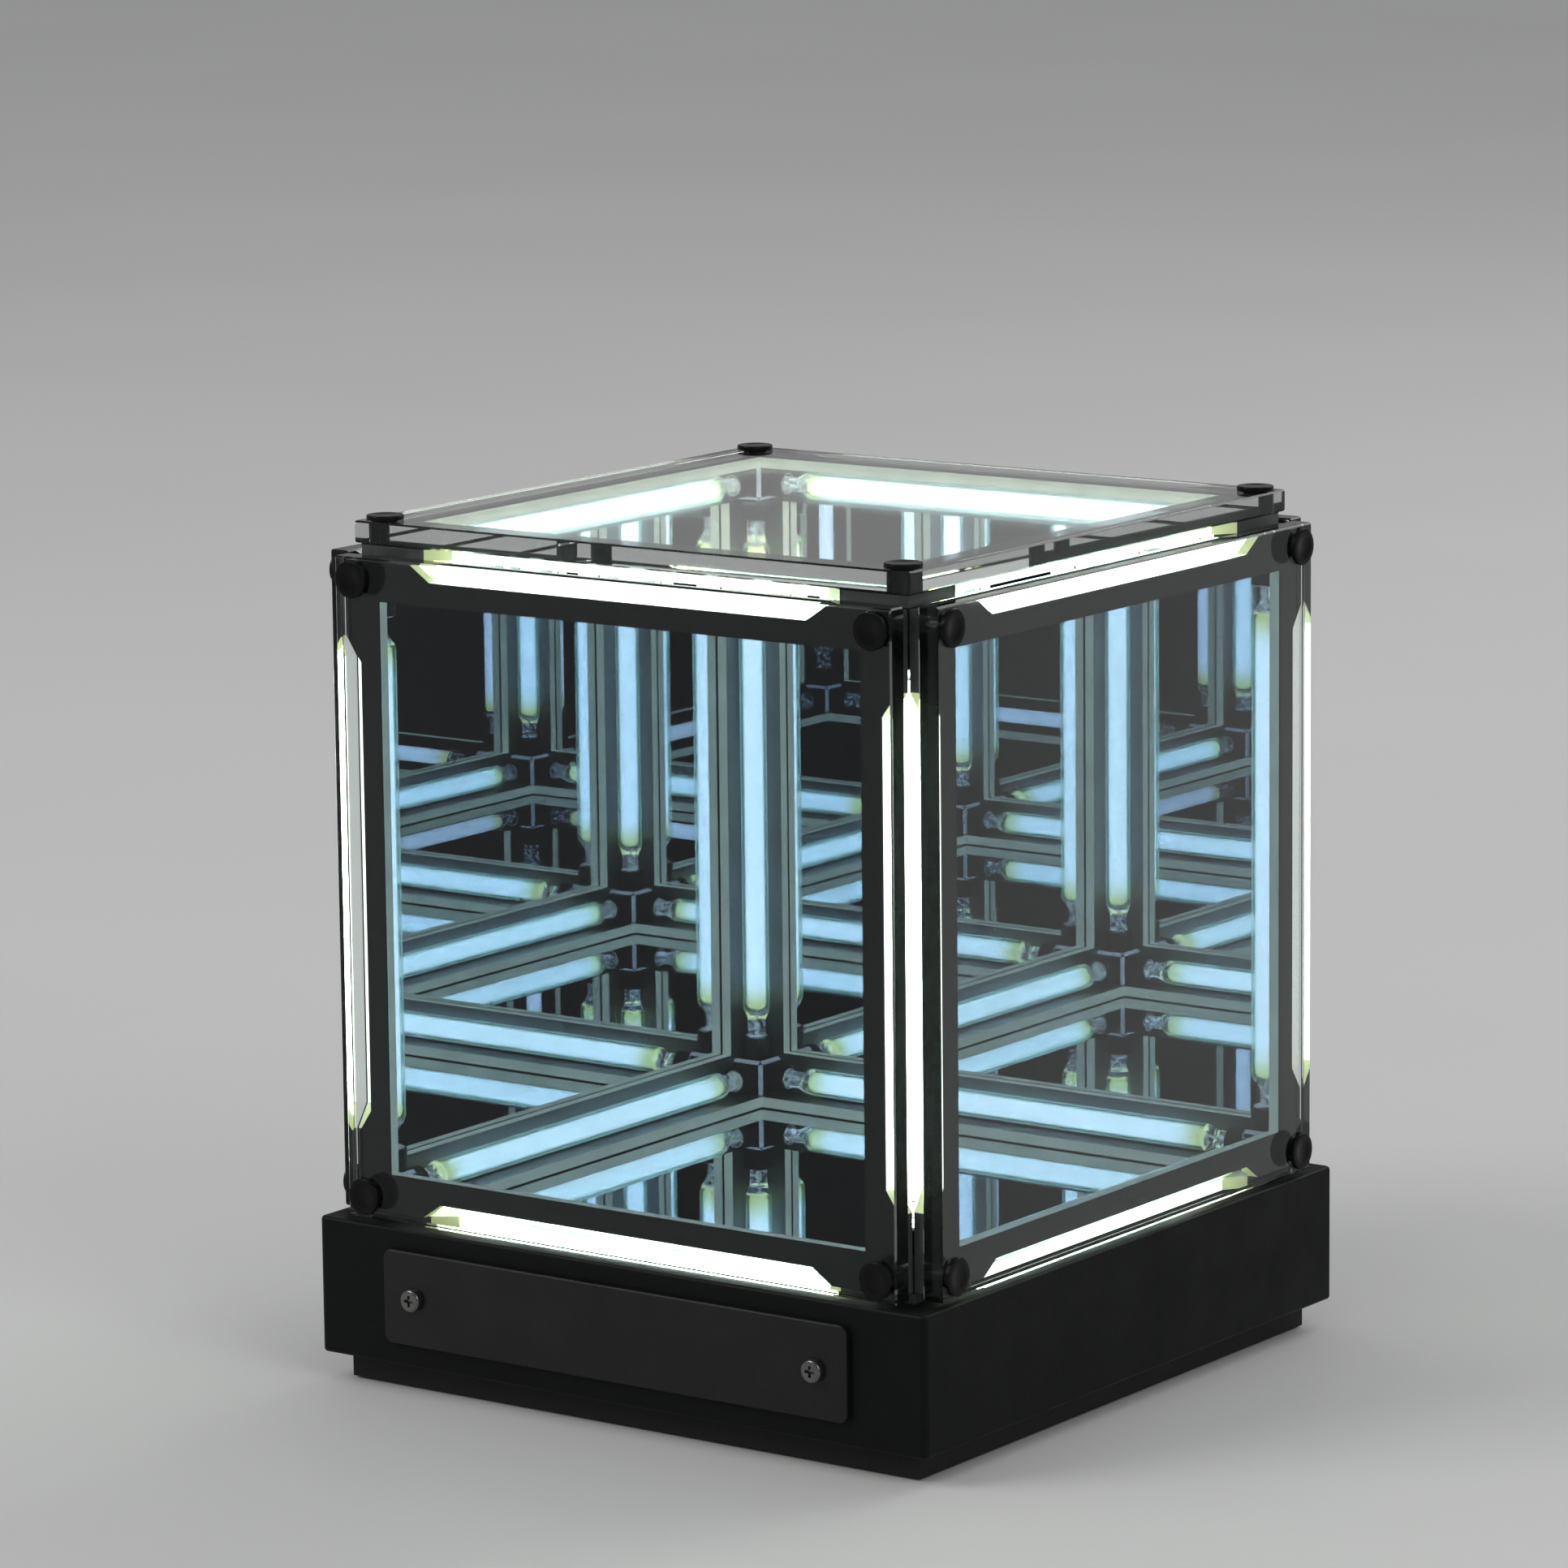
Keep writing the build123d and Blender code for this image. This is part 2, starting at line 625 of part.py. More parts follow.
lip_radius = button_diameter / 2 + running_clearance
chamber_radius = button_collar_diameter / 2 + running_clearance
chamber_length = stop_clearance + button_collar_thickness + button_travel + spring_room
bezel_length = bezel_lip - bezel_flange_thickness + chamber_length + bezel_end_wall
with BuildPart() as button_bezel:
    with BuildSketch(back_plane):
        with Locations((-switch_x, control_height)):
            Circle(bezel_flange_diameter / 2)
    extrude(amount=bezel_flange_thickness)
    with BuildSketch(back_plane):
        with Locations((-switch_x, control_height)):
            Circle(bezel_barrel_diameter / 2)
    extrude(amount=-bezel_length)
    with BuildSketch(back_plane.offset(bezel_flange_thickness)):
        with Locations((-switch_x, control_height)):
            Circle(lip_radius)
    extrude(amount=-bezel_lip, mode=Mode.SUBTRACT)
    with BuildSketch(back_plane.offset(bezel_flange_thickness - bezel_lip)):
        with Locations((-switch_x, control_height)):
            Circle(chamber_radius)
    extrude(amount=-chamber_length, mode=Mode.SUBTRACT)
finish(button_bezel.part, "button_bezel")
make_nut("bezel_nut", switch_x, bezel_barrel_diameter)

collar_face = bezel_flange_thickness - bezel_lip - stop_clearance
with BuildPart() as power_button:
    with BuildSketch(back_plane.offset(collar_face)):
        with Locations((-switch_x, control_height)):
            Circle(button_diameter / 2)
    extrude(amount=bezel_lip + stop_clearance + button_stand_out)
    with BuildSketch(back_plane.offset(collar_face)):
        with Locations((-switch_x, control_height)):
            Circle(button_collar_diameter / 2)
    extrude(amount=-button_collar_thickness)
finish(power_button.part, "power_button")
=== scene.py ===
import json
import math

import bmesh
import bpy
from mathutils import Matrix, Vector


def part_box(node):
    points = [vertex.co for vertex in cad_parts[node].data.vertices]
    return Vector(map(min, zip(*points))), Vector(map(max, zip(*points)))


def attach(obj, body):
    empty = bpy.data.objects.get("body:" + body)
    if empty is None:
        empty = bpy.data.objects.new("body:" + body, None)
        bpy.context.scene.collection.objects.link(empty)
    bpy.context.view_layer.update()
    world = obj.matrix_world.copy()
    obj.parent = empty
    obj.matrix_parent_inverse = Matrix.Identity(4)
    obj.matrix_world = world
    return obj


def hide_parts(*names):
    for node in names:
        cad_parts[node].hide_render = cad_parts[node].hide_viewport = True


# A lit cube of twelve edge lamps between clear mirror panels, on a black box base, in a plain pale studio.
# Metres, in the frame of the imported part: +Z is up, -Y is the front, and the object stands on Z = 0.

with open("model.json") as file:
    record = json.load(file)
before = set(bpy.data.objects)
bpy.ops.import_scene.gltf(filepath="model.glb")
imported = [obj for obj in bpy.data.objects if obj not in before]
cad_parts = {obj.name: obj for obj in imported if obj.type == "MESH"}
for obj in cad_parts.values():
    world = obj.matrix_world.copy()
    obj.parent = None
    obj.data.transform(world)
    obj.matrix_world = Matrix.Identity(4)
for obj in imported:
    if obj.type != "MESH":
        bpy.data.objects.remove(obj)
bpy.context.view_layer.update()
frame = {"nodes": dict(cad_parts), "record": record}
nodes = frame["nodes"]
lamp_body = "lamp"
MM = 0.001

sides = {
    "front": Vector((0, -1, 0)),
    "back": Vector((0, 1, 0)),
    "left": Vector((-1, 0, 0)),
    "right": Vector((1, 0, 0)),
    "top": Vector((0, 0, 1)),
    "bottom": Vector((0, 0, -1)),
}

# ------------------------------------------------------------------ places read from the frame
top_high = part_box("glass_top")[1]
bottom_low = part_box("glass_bottom")[0]
cube_center = (top_high + bottom_low) / 2
cube_center.x = cube_center.y = 0
lamp_low, lamp_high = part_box("lamp_tube_front_right")
lamp_reach = (lamp_low.x + lamp_high.x) / 2            # from the cube's centre to a lamp's axis, along an axis
tube_radius = (lamp_high.x - lamp_low.x) / 2
pinch_end = (lamp_high.z - lamp_low.z) / 2
hub_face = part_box("hub_top_front_right")[1].x
glass_outer = top_high.z - cube_center.z

# ------------------------------------------------------------------ camera
camera_azimuth = math.radians(35.8)
camera_elevation = math.radians(10.17)
camera_roll = math.radians(-0.64)
camera_distance = 1.572
aim_right = 0.010             # the cube's centre stands this far right of the picture's middle
aim_up = -0.018               # and this far above it, so below it where negative
photo_side = 1932
focal_pixels = 8553.5
sensor_width = 36.0
clip_range = (0.05, 60)


def make_camera():
    """Camera at the photograph's viewing angle."""
    sin_a, cos_a = math.sin(camera_azimuth), math.cos(camera_azimuth)
    sin_e, cos_e = math.sin(camera_elevation), math.cos(camera_elevation)
    back = Vector((sin_a * cos_e, -cos_a * cos_e, sin_e))
    level_right = Vector((cos_a, sin_a, 0))
    level_up = back.cross(level_right)
    right = math.cos(camera_roll) * level_right + math.sin(camera_roll) * level_up
    up = math.cos(camera_roll) * level_up - math.sin(camera_roll) * level_right
    place = cube_center + back * camera_distance - right * aim_right - up * aim_up
    data = bpy.data.cameras.new("camera")
    data.sensor_width = sensor_width
    data.lens = focal_pixels / photo_side * sensor_width
    data.clip_start, data.clip_end = clip_range
    camera = bpy.data.objects.new("camera", data)
    bpy.context.scene.collection.objects.link(camera)
    rotation = Matrix((right, up, back)).transposed()
    camera.matrix_world = Matrix.Translation(place) @ rotation.to_4x4()
    bpy.context.scene.camera = camera


make_camera()


# ------------------------------------------------------------------ node helpers
class Shader:
    """A material's node tree, with short ways to add and join nodes."""

    range_start, range_end = 0.3, 0.7      # most of a noise's values lie between these

    def __init__(self, name):
        self.material = bpy.data.materials.new(name)
        self.material.use_nodes = True
        self.tree = self.material.node_tree
        self.tree.nodes.clear()
        self.output = self.add("OutputMaterial")

    def add(self, kind, **inputs):
        """A new node. Its inputs are named with _ for a space."""
        node = self.tree.nodes.new("ShaderNode" + kind)
        for key, value in inputs.items():
            node.inputs[key.replace("_", " ")].default_value = value
        return node

    def join(self, source, target):
        """A link from an output to an input."""
        self.tree.links.new(source, target)

    def close(self, shader):
        """The finished material, with this shader as its surface."""
        self.join(shader, self.output.inputs["Surface"])
        return self.material

    def noise(self, scale, detail=4.0):
        """Noise over the object's own coordinates."""
        coordinates = self.add("TexCoord")
        noise = self.add("TexNoise", Scale=scale, Detail=detail)
        self.join(coordinates.outputs["Object"], noise.inputs["Vector"])
        return noise.outputs["Fac"]

    def spread(self, source, low, high, start=range_start, end=range_end):
        """The source's range from start to end mapped to low..high."""
        spread = self.add("MapRange", From_Min=start, From_Max=end, To_Min=low, To_Max=high)
        self.join(source, spread.inputs["Value"])
        return spread.outputs["Result"]

    def tone(self, source, first, second, start=range_start, end=range_end, easing="LINEAR"):
        """The source's range from start to end mapped to a run between two colours."""
        ramp = self.add("ValToRGB")
        ramp.color_ramp.interpolation = easing
        for stop, position, color in zip(ramp.color_ramp.elements, (start, end), (first, second)):
            stop.position = position
            stop.color = (*color, 1)
        self.join(source, ramp.inputs["Fac"])
        return ramp.outputs["Color"]

    def mix(self, factor, first, second):
        """Mix of two shaders by a number or a socket."""
        mixer = self.add("MixShader")
        if isinstance(factor, float):
            mixer.inputs["Fac"].default_value = factor
        else:
            self.join(factor, mixer.inputs["Fac"])
        self.join(first, mixer.inputs[1])
        self.join(second, mixer.inputs[2])
        return mixer.outputs["Shader"]

    def bump(self, source, distance):
        """Normals of a surface that the source raises by up to this distance."""
        bump = self.add("Bump", Strength=1.0, Distance=distance)
        self.join(source, bump.inputs["Height"])
        return bump.outputs["Normal"]

    def let_light_through(self, body, tint):
        """The body shader, but plain tinted clear to shadow and diffuse rays."""
        clear = self.add("BsdfTransparent", Color=(*tint, 1))
        path = self.add("LightPath")
        either = self.add("Math")
        either.operation = "MAXIMUM"
        self.join(path.outputs["Is Shadow Ray"], either.inputs[0])
        self.join(path.outputs["Is Diffuse Ray"], either.inputs[1])
        return self.mix(either.outputs["Value"], body, clear.outputs["BSDF"])


def solid_material(name, dark, light, roughness, metallic=0.0, grain=900.0, depth=0.0, patches=60.0, **extra):
    """Opaque finish: cloudy colour and uneven gloss, and a fine grain where it has a depth."""
    shader = Shader(name)
    principled = shader.add("BsdfPrincipled", Metallic=metallic, **extra)
    cloud = shader.noise(patches)
    shader.join(shader.tone(cloud, dark, light), principled.inputs["Base Color"])
    shader.join(shader.spread(cloud, *roughness), principled.inputs["Roughness"])
    if depth:
        shader.join(shader.bump(shader.noise(grain, detail=2.0), depth), principled.inputs["Normal"])
    return shader.close(principled.outputs["BSDF"])


glass_ior = 1.49
faint_reflection = (0.20, 0.21, 0.22, 1)       # the studio is paler than the photograph's dark room


def glass_material(name, tint, roughness, glow_share=0.0):
    """Clear sheet that bends what is seen through it and lets the lamps' light pass. A glow share scatters it."""
    shader = Shader(name)
    principled = shader.add("BsdfPrincipled", Base_Color=(*tint, 1), IOR=glass_ior, Transmission_Weight=1.0,
                            Specular_Tint=faint_reflection)
    shader.join(shader.spread(shader.noise(35.0), *roughness), principled.inputs["Roughness"])
    body = principled.outputs["BSDF"]
    if glow_share:
        milk = shader.add("BsdfTranslucent", Color=(0.93, 1.0, 0.97, 1))
        body = shader.mix(glow_share, body, milk.outputs["BSDF"])
    return shader.close(shader.let_light_through(body, tint))


def glass_with_painted_glints(name, tint, glow, glint_strengths):
    """Solid pinched glass, with emitting patches: painted glints that stand in for the lamp's light caught in the
    glass.
    """
    shader = Shader(name)
    principled = shader.add("BsdfPrincipled", Base_Color=(*tint, 1), IOR=glass_ior, Transmission_Weight=1.0,
                            Emission_Color=(*glow, 1))
    patches = shader.noise(1000.0, detail=2.0)
    shader.join(shader.spread(patches, 0.0, 0.05), principled.inputs["Roughness"])
    glint_patch_edge = (0.47, 0.6)
    shader.join(shader.spread(patches, *glint_strengths, *glint_patch_edge), principled.inputs["Emission Strength"])
    return shader.close(shader.let_light_through(principled.outputs["BSDF"], tint))


def mirror_material(name, reflect, through, share):
    """Two-way mirror face: from the lit side a mirror with a share of clear, from behind clear."""
    shader = Shader(name)
    mirror = shader.add("BsdfGlossy", Color=(*reflect, 1))
    shader.join(shader.spread(shader.noise(25.0), 0.0, 0.004), mirror.inputs["Roughness"])
    clear = shader.add("BsdfTransparent", Color=(*through, 1))
    lit_side = shader.mix(share, clear.outputs["BSDF"], mirror.outputs["BSDF"])
    behind = shader.add("BsdfTransparent", Color=(1, 1, 1, 1))
    geometry = shader.add("NewGeometry")
    return shader.close(shader.mix(geometry.outputs["Backfacing"], lit_side, behind.outputs["BSDF"]))


def tint_material(name, through, streak):
    """See-through dye on the film's outer face, a little uneven."""
    shader = Shader(name)
    clear = shader.add("BsdfTransparent")
    shader.join(shader.tone(shader.noise(12.0), through, streak), clear.inputs["Color"])
    return shader.close(clear.outputs["BSDF"])


def tube_material(name, glow_middle, glow_rim):
    """Thin clear lamp glass, with a milky bloom that thickens towards its outline."""
    shader = Shader(name)
    clear = shader.add("BsdfTransparent", Color=(0.97, 0.985, 0.98, 1))
    gloss = shader.add("BsdfGlossy", Color=(1, 1, 1, 1))
    shader.join(shader.spread(shader.noise(180.0), 0.03, 0.08), gloss.inputs["Roughness"])
    fresnel = shader.add("Fresnel", IOR=1.5)
    reflected = shader.mix(fresnel.outputs["Fac"], clear.outputs["BSDF"], gloss.outputs["BSDF"])
    geometry = shader.add("NewGeometry")
    wall = shader.mix(geometry.outputs["Backfacing"], reflected, clear.outputs["BSDF"])    # no gloss from inside
    milk = shader.add("BsdfTranslucent", Color=(0.65, 0.97, 0.84, 1))
    outline = shader.add("LayerWeight", Blend=0.35)
    bloom = shader.spread(outline.outputs["Facing"], glow_middle, glow_rim, 0.0, 1.0)
    return shader.close(shader.mix(bloom, wall, milk.outputs["BSDF"]))


def core_material(name, middle, end, strength):
    """Glowing rod: even white along its length, yellow-green at both ends."""
    shader = Shader(name)
    along = shader.add("Attribute")
    along.attribute_name = "along"
    glow = shader.tone(along.outputs["Fac"], middle, end, 0.86, 1.0, "EASE")
    principled = shader.add("BsdfPrincipled", Base_Color=(0.8, 0.8, 0.75, 1), Roughness=0.5,
                            Emission_Strength=strength)
    shader.join(glow, principled.inputs["Emission Color"])
    return shader.close(principled.outputs["BSDF"])


def painted_light_material(name, dark, light, glow, strength):
    """Edge or rim with painted lamp light: an uneven emission stands in for the lamps' light that reaches it."""
    shader = Shader(name)
    cloud = shader.noise(120.0)
    principled = shader.add("BsdfPrincipled", Roughness=0.5, Emission_Color=(*glow, 1))
    shader.join(shader.tone(cloud, dark, light), principled.inputs["Base Color"])
    shader.join(shader.spread(cloud, strength * 0.9, strength * 1.1), principled.inputs["Emission Strength"])
    return shader.close(principled.outputs["BSDF"])


def board_material(name):
    """Solder mask with copper traces showing as paler bands."""
    shader = Shader(name)
    coordinates = shader.add("TexCoord")
    wave = shader.add("TexWave", Scale=140.0, Distortion=3.0, Detail=1.0)
    shader.join(coordinates.outputs["Object"], wave.inputs["Vector"])
    principled = shader.add("BsdfPrincipled", Roughness=0.35)
    traces = shader.tone(wave.outputs["Fac"], (0.012, 0.10, 0.04), (0.03, 0.20, 0.09))
    shader.join(traces, principled.inputs["Base Color"])
    return shader.close(principled.outputs["BSDF"])


# ------------------------------------------------------------------ materials
lamp_strength = 14.0
black = (0.002, 0.0024, 0.0024)


def grey(level):
    """Colour without a hue."""
    return level, level, level


# slot: darker colour, lighter colour, range of roughness, other settings
solid_finishes = {
    "mask_black": (black, (0.004, 0.005, 0.005), (0.07, 0.16), {"Specular_IOR_Level": 0.14}),
    "tape_black": ((0.0015, 0.002, 0.002), (0.003, 0.0036, 0.0036), (0.12, 0.22), {"Specular_IOR_Level": 0.1}),
    "hub_black": ((0.003, 0.004, 0.004), (0.008, 0.009, 0.009), (0.24, 0.34),
                  {"grain": 1500.0, "depth": 0.01 * MM, "Specular_IOR_Level": 0.25}),
    "cap_metal": ((0.78, 0.78, 0.75), (0.92, 0.92, 0.90), (0.16, 0.3), {"metallic": 1.0}),
    "post_black": (black, grey(0.005), (0.18, 0.3),
                   {"grain": 1800.0, "depth": 0.01 * MM, "Specular_IOR_Level": 0.1}),
    "base_black": ((0.0015, 0.002, 0.0022), (0.003, 0.0036, 0.0038), (0.42, 0.58),
                   {"grain": 2600.0, "depth": 0.06 * MM, "Specular_IOR_Level": 0.12}),
    "plinth_black": (grey(0.004), grey(0.008), (0.6, 0.75),
                     {"grain": 1800.0, "depth": 0.05 * MM, "Specular_IOR_Level": 0.3}),
    "plate_black": (grey(0.004), grey(0.008), (0.24, 0.4),
                    {"grain": 2200.0, "depth": 0.03 * MM, "Specular_IOR_Level": 0.25}),
    "screw_dark": (grey(0.10), (0.19, 0.185, 0.18), (0.16, 0.28), {"metallic": 0.9}),
    "foot_rubber": (grey(0.015), grey(0.04), (0.7, 0.9), {"depth": 0.1 * MM}),
    "terminal_plastic": ((0.02, 0.12, 0.25), (0.05, 0.22, 0.4), (0.35, 0.5), {}),
    "capacitor_sleeve": ((0.02, 0.03, 0.05), (0.05, 0.07, 0.10), (0.2, 0.35), {}),
    "lead_insulation": ((0.10, 0.012, 0.012), (0.18, 0.03, 0.025), (0.4, 0.55), {}),
    "control_black": (black, grey(0.010), (0.16, 0.26), {"Specular_IOR_Level": 0.35}),
    "nut_metal": ((0.45, 0.45, 0.44), (0.65, 0.65, 0.63), (0.25, 0.4), {"metallic": 1.0}),
    "button_plastic": (grey(0.030), grey(0.045), (0.38, 0.52), {"grain": 2000.0, "depth": 0.05 * MM}),
}
finishes = {
    "clear_glass": glass_material("clear_glass", (0.965, 0.99, 0.985), (0.0, 0.02)),
    "lamp_glass": tube_material("lamp_glass", 0.10, 0.50),
    "lamp_light": core_material("lamp_light", (1.0, 1.0, 0.94), (0.62, 0.62, 0.20), lamp_strength),
    "board_green": board_material("board_green"),
}
for slot_name, (dark, light, roughness, settings) in solid_finishes.items():
    finishes[slot_name] = solid_material(slot_name, dark, light, roughness, **settings)

# finishes of single faces, and of the films
# painted glints: the seals' glass emits in patches, for the lamp's light caught in the pinch
seal_glass_painted_glints = glass_with_painted_glints("seal_glass_painted_glints", (0.97, 0.985, 0.98), (0.90, 1.0, 0.92), (0.05, 2.4))
# painted highlight: the caps' lips emit a little, for the lamps' light on them
cap_lip_painted_highlight = painted_light_material("cap_lip_painted_highlight", (0.8, 0.8, 0.78), (0.9, 0.9, 0.88), (0.95, 1.0, 0.95), 0.8)
# painted highlight lines on the hubs' inner chamfers: pale grey and an emission
hub_chamfer_painted_highlight = painted_light_material("hub_chamfer_painted_highlight", grey(0.5), grey(0.7), (0.97, 1.0, 0.92), 2.2)
# painted lamp light on the masks' cut-backs beside the lamps: pale colours and an emission, yellow-green at the
# lamps' ends
cutback_end_painted_glow = painted_light_material("cutback_end_painted_glow", (0.32, 0.35, 0.20), (0.40, 0.43, 0.26), (0.74, 0.80, 0.36), 0.15)
cutback_edge_painted_glow = painted_light_material("cutback_edge_painted_glow", (0.6, 0.63, 0.6), (0.7, 0.74, 0.7), (0.96, 1.0, 0.90), 0.75)
# the windows' inner walls: pale grey, with an emission that paints the lamps' light on them
window_wall_painted_glow = painted_light_material("window_wall_painted_glow", (0.4, 0.4, 0.38), (0.5, 0.5, 0.47), (0.97, 1.0, 0.66), 2.8)
# painted lamp light: the masks' inner faces are a paler copy of their black outer faces
mask_inner_painted_light = solid_material("mask_inner_painted_light", (0.075, 0.09, 0.09), (0.12, 0.135, 0.135), (0.2, 0.32))
cut_edge = solid_material("cut_edge", (0.02, 0.024, 0.023), (0.05, 0.056, 0.053), (0.25, 0.4),
                          grain=1200.0, depth=0.02 * MM)
pane_edge = glass_material("pane_edge", (0.95, 0.985, 0.975), (0.0, 0.03), glow_share=0.012)
film_mirror = mirror_material("film_mirror", (0.93, 0.975, 1.0), (0.72, 0.9, 1.0), 0.95)
film_tint = tint_material("film_tint", (0.040, 0.054, 0.078), (0.044, 0.059, 0.085))
film_tint_top = tint_material("film_tint_top", (0.28, 0.31, 0.37), (0.30, 0.33, 0.39))

slot_of = {part["node"]: part["material_slot"] for part in frame["record"]["subparts"]}


def dress(node, *materials):
    """Give a carried-over node its materials."""
    mesh = nodes[node].data
    mesh.materials.clear()
    for material in materials:
        mesh.materials.append(material)


for node, slot_name in slot_of.items():
    if slot_name in finishes:
        dress(node, finishes[slot_name])


def across_panel(place, outward):
    """How far a place lies from a panel's axis, along each axis of the frame."""
    place = place - cube_center
    return [abs(v) for v in place - outward * place.dot(outward)]


mask_finishes = [finishes["mask_black"], cut_edge, window_wall_painted_glow, mask_inner_painted_light, cutback_edge_painted_glow, cutback_end_painted_glow]


def mask_finish(polygon, outward, window_reach, mask_reach):
    """The finish of one face of a mask: black outside, paler inside as painted lamp light, and painted lamp glow on
    the edges nearer the lamps.
    """
    facing = polygon.normal.dot(outward)
    if abs(facing) >= 0.5:
        return finishes["mask_black"] if facing > 0 else mask_inner_painted_light
    across = across_panel(polygon.center, outward)
    if max(across) < window_reach:
        return window_wall_painted_glow
    beside_post = sum(v > window_reach for v in across) == 2
    if max(across) > mask_reach or beside_post:
        return cut_edge
    slanted = sum(abs(v) > 0.3 for v in polygon.normal) == 2
    return cutback_end_painted_glow if slanted else cutback_edge_painted_glow


def half_side(node):
    """Half the side of a flat square node."""
    low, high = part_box(node)
    return max(high - low) / 2


for side, outward in sides.items():
    mask = f"mask_{side}"
    dress(mask, *mask_finishes)
    window_reach = half_side(f"mirror_film_{side}") + 1.0 * MM      # just outside the window's wall
    mask_reach = half_side(mask) - 0.5 * MM                         # just inside the mask's outer edge
    for polygon in nodes[mask].data.polygons:
        finish = mask_finish(polygon, outward, window_reach, mask_reach)
        polygon.material_index = mask_finishes.index(finish)

# the hubs' chamfers towards the cube's inside get a painted highlight: an emission where the lamps' light would
# strike them
chamfer_start = hub_face - 8.3 * MM       # just short of the hub's inner face
chamfer_end = chamfer_start + 0.9 * MM
for node in [name for name in slot_of if name.startswith("hub_")]:
    dress(node, finishes["hub_black"], hub_chamfer_painted_highlight)
    for polygon in nodes[node].data.polygons:
        level = [chamfer_start < abs(v) < chamfer_end for v in polygon.center - cube_center]
        slanted = [0.6 < abs(v) < 0.8 for v in polygon.normal]
        polygon.material_index = int(sum(level) == 2 and sum(slanted) == 2)


# ------------------------------------------------------------------ mesh helpers
def piece(name, mesh, material, replaced=()):
    """Make an object of a finished mesh, riding on the lamp's body. A mesh that has its materials gets none."""
    thing = bpy.data.objects.new(name, mesh)
    bpy.context.scene.collection.objects.link(thing)
    if material is not None:
        mesh.materials.append(material)
    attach(thing, lamp_body)
    if replaced:
        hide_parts(*replaced)
    return thing


pane_skin = 0.02 * MM          # taken off each face of a panel and a film


def trimmed_copy(node, name, outward, materials, growth=0.0):
    """Mesh of a flat square node, thinner by a skin on both faces, so that it shares no face with its neighbours.

    Its four edges move out by the growth.
    """
    mesh = nodes[node].data.copy()
    mesh.name = name
    mesh.materials.clear()
    for material in materials:
        mesh.materials.append(material)
    low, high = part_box(node)
    middle = (low + high) / 2
    thickness = abs((high - low).dot(outward))
    squeeze = Matrix.Scale(1 - 2 * pane_skin / thickness, 4, outward)
    stretch = 1 + growth / half_side(node)
    widen = Matrix.Scale(stretch, 4) @ Matrix.Scale(1 / stretch, 4, outward)
    mesh.transform(Matrix.Translation(middle) @ squeeze @ widen @ Matrix.Translation(-middle))
    return mesh


axis_gap = 0.05 * MM           # radius of a plain lathe's small flat end


def ring_lathe(bm, axis_frame, stations, segments, layer=None):
    """Closed skin over rings: each station is (distance along, half width, half thickness, squareness).

    A vertex layer, where given, takes each vertex's distance from the frame's origin along the axis.
    """
    rings = []
    for along, half_width, half_thickness, squareness in stations:
        ring = []
        for step in range(segments):
            angle = 2 * math.pi * step / segments
            power = 2 / squareness
            across = math.copysign(abs(math.cos(angle)) ** power, math.cos(angle)) * half_width
            over = math.copysign(abs(math.sin(angle)) ** power, math.sin(angle)) * half_thickness
            vertex = bm.verts.new(axis_frame @ Vector((across, over, along)))
            if layer is not None:
                vertex[layer] = abs(along)
            ring.append(vertex)
        rings.append(ring)
    for first, second in zip(rings, rings[1:]):
        for step in range(segments):
            following = (step + 1) % segments
            face = bm.faces.new((first[step], first[following], second[following], second[step]))
            face.smooth = True
    bm.faces.new(list(reversed(rings[0])))
    bm.faces.new(rings[-1])


def round_stations(profile):
    """Stations of a plain lathe from (distance along, radius) pairs."""
    return [(along, radius, radius, 2.0) for along, radius in profile]


def finished_mesh(bm, name, smooth_angle=None):
    """Mesh of closed skins, shaded smooth where faces meet at less than the angle, or as made without one."""
    mesh = bpy.data.meshes.new(name)
    bmesh.ops.recalc_face_normals(bm, faces=bm.faces)
    if smooth_angle is not None:
        for edge in bm.edges:
            edge.smooth = len(edge.link_faces) == 2 and edge.calc_face_angle(0) < smooth_angle
        for face in bm.faces:
            face.smooth = True
    bm.to_mesh(mesh)
    bm.free()
    return mesh


# ------------------------------------------------------------------ panels and films
film_growth = 0.19 * MM        # over the film's clearance, to just short of the window's wall
pane_bevel = 0.25 * MM
hole_reach = 3.5 * MM          # from a post's axis past its hole's wall
pane_finishes = [finishes["clear_glass"], pane_edge, finishes["post_black"]]
for side, outward in sides.items():
    glass_name, film_name = f"glass_{side}", f"mirror_film_{side}"
    pane_mesh = trimmed_copy(glass_name, f"panel_{side}", outward, pane_finishes)
    post_place = lamp_reach * Vector([1 - abs(v) for v in outward])
    for polygon in pane_mesh.polygons:
        if abs(polygon.normal.dot(outward)) < 0.9:
            from_post = (Vector(across_panel(polygon.center, outward)) - post_place).length
            finish = finishes["post_black"] if from_post < hole_reach else pane_edge     # posts darken their holes
            polygon.material_index = pane_finishes.index(finish)
    pane = piece(f"panel_{side}", pane_mesh, None, [glass_name])
    bevel = pane.modifiers.new("eased_edges", "BEVEL")
    bevel.width = pane_bevel
    bevel.segments = 1
    bevel.limit_method = "ANGLE"
    bevel.angle_limit = math.radians(60)
    film_finishes = [film_tint_top if side == "top" else film_tint, film_mirror]
    film_mesh = trimmed_copy(film_name, f"film_{side}", outward, film_finishes, film_growth)
    for polygon in film_mesh.polygons:
        polygon.material_index = int(polygon.normal.dot(outward) < -0.5)      # the mirror faces the lamps
    piece(f"film_{side}", film_mesh, None, [film_name])


